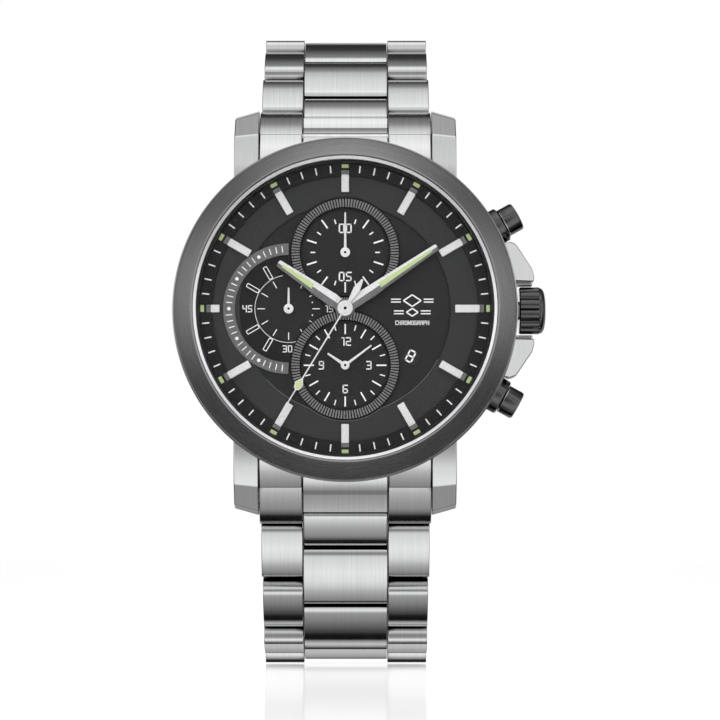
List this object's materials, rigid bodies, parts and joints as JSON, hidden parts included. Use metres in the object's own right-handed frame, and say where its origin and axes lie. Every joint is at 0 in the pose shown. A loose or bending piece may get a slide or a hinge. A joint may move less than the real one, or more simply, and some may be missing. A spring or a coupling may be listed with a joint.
{
  "type": "chronograph wristwatch",
  "caption": "Round chronograph wristwatch with black bezel, dark dial with small counters, crown, two pushers and a steel link bracelet closed by a folding clasp.",
  "frame": {"origin": "middle of the case back's outer face, on the axis of the hands", "axes": "+X to the crown, +Y out of the case back towards the wrist (the dial faces -Y), +Z to twelve o'clock"},
  "size_m": [0.0479, 0.0538, 0.0851],
  "materials": {
    "brushed_steel": "satin brushed lengthways",
    "plain_steel": "fine satin",
    "black_steel": "black plated, circular brushed",
    "black_ring": "satin black",
    "silver_ring": "satin",
    "dial": "matt charcoal, fine grain",
    "crystal": "clear, polished",
    "hands": "polished, with luminous fill",
    "date": "matt black",
    "nylon": "smooth",
    "seal": "smooth",
    "brass": "fine satin",
    "copper": "wound wire",
    "battery": "satin"
  },
  "bodies": {
    "head": {"case_middle": "brushed_steel", "bezel": "black_steel", "crystal": "crystal", "crystal_gasket": "nylon", "caseback": "plain_steel", "caseback_gasket": "seal", "chapter_ring": "black_ring", "dial_plate": "dial", "counter_ring_top": "black_ring", "counter_ring_bottom": "black_ring", "counter_ring_left": "silver_ring", "movement_ring": "nylon", "main_plate": "brass", "battery": "battery", "motor_coil": "copper", "crown_tube": "plain_steel", "pusher_tube_upper": "black_steel", "pusher_tube_lower": "black_steel", "pusher_spring_upper": "plain_steel", "pusher_spring_lower": "plain_steel", "end_link_upper": "brushed_steel", "end_link_lower": "brushed_steel", "spring_bar_upper": "plain_steel", "spring_bar_lower": "plain_steel"},
    "minute_hand_body": {"minute_hand": "hands"},
    "hour_hand_body": {"hour_hand": "hands"},
    "seconds_hand_body": {"seconds_hand": "hands"},
    "top_counter_body": {"counter_hand_top": "hands"},
    "left_counter_body": {"counter_hand_left": "hands"},
    "small_minute_body": {"small_minute_hand": "hands"},
    "small_hour_body": {"small_hour_hand": "hands"},
    "date_body": {"date_disc": "date"},
    "setting_body": {"setting_slide": "plain_steel"},
    "crown_body": {"crown": "black_steel", "crown_stem": "plain_steel", "crown_gasket": "seal"},
    "pusher_upper_body": {"pusher_upper": "black_steel"},
    "pusher_lower_body": {"pusher_lower": "black_steel"},
    "strap_lower_1": {"link_lower_1": "brushed_steel"},
    "strap_lower_2": {"link_lower_2": "brushed_steel"},
    "strap_lower_3": {"link_lower_3": "brushed_steel"},
    "strap_lower_4": {"link_lower_4": "brushed_steel"},
    "strap_lower_5": {"link_lower_5": "brushed_steel"},
    "strap_lower_6": {"link_lower_6": "brushed_steel"},
    "strap_lower_7": {"link_lower_7": "brushed_steel"},
    "strap_upper_1": {"link_upper_1": "brushed_steel"},
    "strap_upper_2": {"link_upper_2": "brushed_steel"},
    "strap_upper_3": {"link_upper_3": "brushed_steel"},
    "strap_upper_4": {"link_upper_4": "brushed_steel"},
    "strap_upper_5": {"link_upper_5": "brushed_steel"},
    "strap_upper_6": {"link_upper_6": "brushed_steel"},
    "strap_upper_7": {"link_upper_7": "brushed_steel", "clasp_spring_bar": "plain_steel"},
    "clasp_inner_body": {"clasp_blade_inner": "plain_steel", "blade_hinge_pin": "plain_steel"},
    "clasp_outer_body": {"clasp_blade_outer": "plain_steel"},
    "clasp_cover_body": {"clasp_cover": "brushed_steel", "cover_hinge_pin": "plain_steel"},
    "button_left_body": {"clasp_button_left": "plain_steel"},
    "button_right_body": {"clasp_button_right": "plain_steel"}
  },
  "joints": [
    {"name": "minute_turn", "type": "hinge", "parent": "head", "child": "minute_hand_body", "pos_m": [0, -0.01, 0], "axis": [0, 1, 0], "continuous": true},
    {"name": "hour_turn", "type": "hinge", "parent": "head", "child": "hour_hand_body", "pos_m": [0, -0.0097, 0], "axis": [0, 1, 0], "continuous": true},
    {"name": "seconds_turn", "type": "hinge", "parent": "head", "child": "seconds_hand_body", "pos_m": [0, -0.0103, 0], "axis": [0, 1, 0], "continuous": true},
    {"name": "top_counter_turn", "type": "hinge", "parent": "head", "child": "top_counter_body", "pos_m": [0, -0.0093, 0.00725], "axis": [0, 1, 0], "continuous": true},
    {"name": "left_counter_turn", "type": "hinge", "parent": "head", "child": "left_counter_body", "pos_m": [-0.00725, -0.0093, 0], "axis": [0, 1, 0], "continuous": true},
    {"name": "small_minute_turn", "type": "hinge", "parent": "head", "child": "small_minute_body", "pos_m": [0, -0.0094, -0.00725], "axis": [0, 1, 0], "continuous": true},
    {"name": "small_hour_turn", "type": "hinge", "parent": "head", "child": "small_hour_body", "pos_m": [0, -0.0092, -0.00725], "axis": [0, 1, 0], "continuous": true},
    {"name": "date_turn", "type": "hinge", "parent": "head", "child": "date_body", "pos_m": [0, -0.00815, 0], "axis": [0, 1, 0], "continuous": true},
    {"name": "crown_pull", "type": "slide", "parent": "head", "child": "setting_body", "axis": [1, 0, 0], "range_m": [0, 0.001]},
    {"name": "crown_turn", "type": "hinge", "parent": "setting_body", "child": "crown_body", "pos_m": [0.024, -0.005, 0], "axis": [1, 0, 0], "continuous": true},
    {"name": "pusher_upper_press", "type": "slide", "parent": "head", "child": "pusher_upper_body", "axis": [-0.8746, 0, -0.4848], "range_m": [0, 0.0009], "stiffness_N_per_m": 1500, "springref_m": -0.0005, "deforming": ["pusher_spring_upper"]},
    {"name": "pusher_lower_press", "type": "slide", "parent": "head", "child": "pusher_lower_body", "axis": [-0.8746, 0, 0.4848], "range_m": [0, 0.0009], "stiffness_N_per_m": 1500, "springref_m": -0.0005, "deforming": ["pusher_spring_lower"]},
    {"name": "strap_lower_swing", "type": "hinge", "parent": "head", "child": "strap_lower_1", "pos_m": [0, -0.00233, -0.02266], "axis": [-1, 0, 0], "range_deg": [0, 18]},
    {"name": "strap_lower_hinge_2", "type": "hinge", "parent": "strap_lower_1", "child": "strap_lower_2", "pos_m": [0, 0.00269, -0.02908], "axis": [-1, 0, 0], "range_deg": [-16, 0]},
    {"name": "strap_lower_hinge_3", "type": "hinge", "parent": "strap_lower_2", "child": "strap_lower_3", "pos_m": [0, 0.00574, -0.03664], "axis": [-1, 0, 0], "range_deg": [0, 24]},
    {"name": "strap_lower_hinge_4", "type": "hinge", "parent": "strap_lower_3", "child": "strap_lower_4", "pos_m": [0, 0.0116, -0.0423], "axis": [-1, 0, 0], "range_deg": [0, 30]},
    {"name": "strap_lower_hinge_5", "type": "hinge", "parent": "strap_lower_4", "child": "strap_lower_5", "pos_m": [0, 0.01951, -0.04427], "axis": [-1, 0, 0], "range_deg": [0, 35.09]},
    {"name": "strap_lower_hinge_6", "type": "hinge", "parent": "strap_lower_5", "child": "strap_lower_6", "pos_m": [0, 0.02712, -0.04134], "axis": [-1, 0, 0], "range_deg": [0, 18.5]},
    {"name": "strap_lower_hinge_7", "type": "hinge", "parent": "strap_lower_6", "child": "strap_lower_7", "pos_m": [0, 0.0334, -0.03614], "axis": [-1, 0, 0], "range_deg": [0, 18.5]},
    {"name": "strap_lower_hinge_8", "type": "hinge", "parent": "strap_lower_7", "child": "clasp_inner_body", "pos_m": [0, 0.0377, -0.02923], "axis": [-1, 0, 0], "range_deg": [0, 31.91]},
    {"name": "strap_upper_swing", "type": "hinge", "parent": "head", "child": "strap_upper_1", "pos_m": [0, -0.00233, 0.02266], "axis": [1, 0, 0], "range_deg": [0, 35]},
    {"name": "strap_upper_hinge_2", "type": "hinge", "parent": "strap_upper_1", "child": "strap_upper_2", "pos_m": [0, 0.00435, 0.02734], "axis": [1, 0, 0], "range_deg": [-8, 0]},
    {"name": "strap_upper_hinge_3", "type": "hinge", "parent": "strap_upper_2", "child": "strap_upper_3", "pos_m": [0, 0.01031, 0.03289], "axis": [1, 0, 0], "range_deg": [0, 15]},
    {"name": "strap_upper_hinge_4", "type": "hinge", "parent": "strap_upper_3", "child": "strap_upper_4", "pos_m": [0, 0.0175, 0.03672], "axis": [1, 0, 0], "range_deg": [0, 28]},
    {"name": "strap_upper_hinge_5", "type": "hinge", "parent": "strap_upper_4", "child": "strap_upper_5", "pos_m": [0, 0.02565, 0.03672], "axis": [1, 0, 0], "range_deg": [0, 29.82]},
    {"name": "strap_upper_hinge_6", "type": "hinge", "parent": "strap_upper_5", "child": "strap_upper_6", "pos_m": [0, 0.03272, 0.03267], "axis": [1, 0, 0], "range_deg": [0, 23.97]},
    {"name": "strap_upper_hinge_7", "type": "hinge", "parent": "strap_upper_6", "child": "strap_upper_7", "pos_m": [0, 0.03754, 0.02609], "axis": [1, 0, 0], "range_deg": [0, 23.97]},
    {"name": "clasp_fold", "type": "hinge", "parent": "clasp_inner_body", "child": "clasp_outer_body", "pos_m": [0, 0.0383, 0.009], "axis": [1, 0, 0], "range_deg": [0, 135]},
    {"name": "clasp_cover_open", "type": "hinge", "parent": "clasp_outer_body", "child": "clasp_cover_body", "pos_m": [0, 0.0392, -0.0225], "axis": [-1, 0, 0], "range_deg": [0, 110]},
    {"name": "clasp_button_left_press", "type": "slide", "parent": "clasp_cover_body", "child": "button_left_body", "axis": [1, 0, 0], "range_m": [0, 0.0006], "stiffness_N_per_m": 800, "springref_m": -0.0004},
    {"name": "clasp_button_right_press", "type": "slide", "parent": "clasp_cover_body", "child": "button_right_body", "axis": [-1, 0, 0], "range_m": [0, 0.0006], "stiffness_N_per_m": 800, "springref_m": -0.0004}
  ],
  "couplings": [
    {"joint": "hour_turn", "follows": "minute_turn", "ratio": 0.083333},
    {"joint": "small_hour_turn", "follows": "small_minute_turn", "ratio": 0.083333},
    {"joint": "strap_lower_hinge_2", "follows": "strap_lower_swing", "ratio": -0.88889},
    {"joint": "strap_lower_hinge_3", "follows": "strap_lower_swing", "ratio": 1.3333},
    {"joint": "strap_lower_hinge_4", "follows": "strap_lower_swing", "ratio": 1.6667},
    {"joint": "strap_lower_hinge_5", "follows": "strap_lower_swing", "ratio": 1.9495},
    {"joint": "strap_lower_hinge_6", "follows": "strap_lower_swing", "ratio": 1.0276},
    {"joint": "strap_lower_hinge_7", "follows": "strap_lower_swing", "ratio": 1.0277},
    {"joint": "strap_lower_hinge_8", "follows": "strap_lower_swing", "ratio": 1.773},
    {"joint": "strap_upper_hinge_2", "follows": "strap_upper_swing", "ratio": -0.22857},
    {"joint": "strap_upper_hinge_3", "follows": "strap_upper_swing", "ratio": 0.42857},
    {"joint": "strap_upper_hinge_4", "follows": "strap_upper_swing", "ratio": 0.8},
    {"joint": "strap_upper_hinge_5", "follows": "strap_upper_swing", "ratio": 0.852},
    {"joint": "strap_upper_hinge_6", "follows": "strap_upper_swing", "ratio": 0.68491},
    {"joint": "strap_upper_hinge_7", "follows": "strap_upper_swing", "ratio": 0.68491}
  ]
}
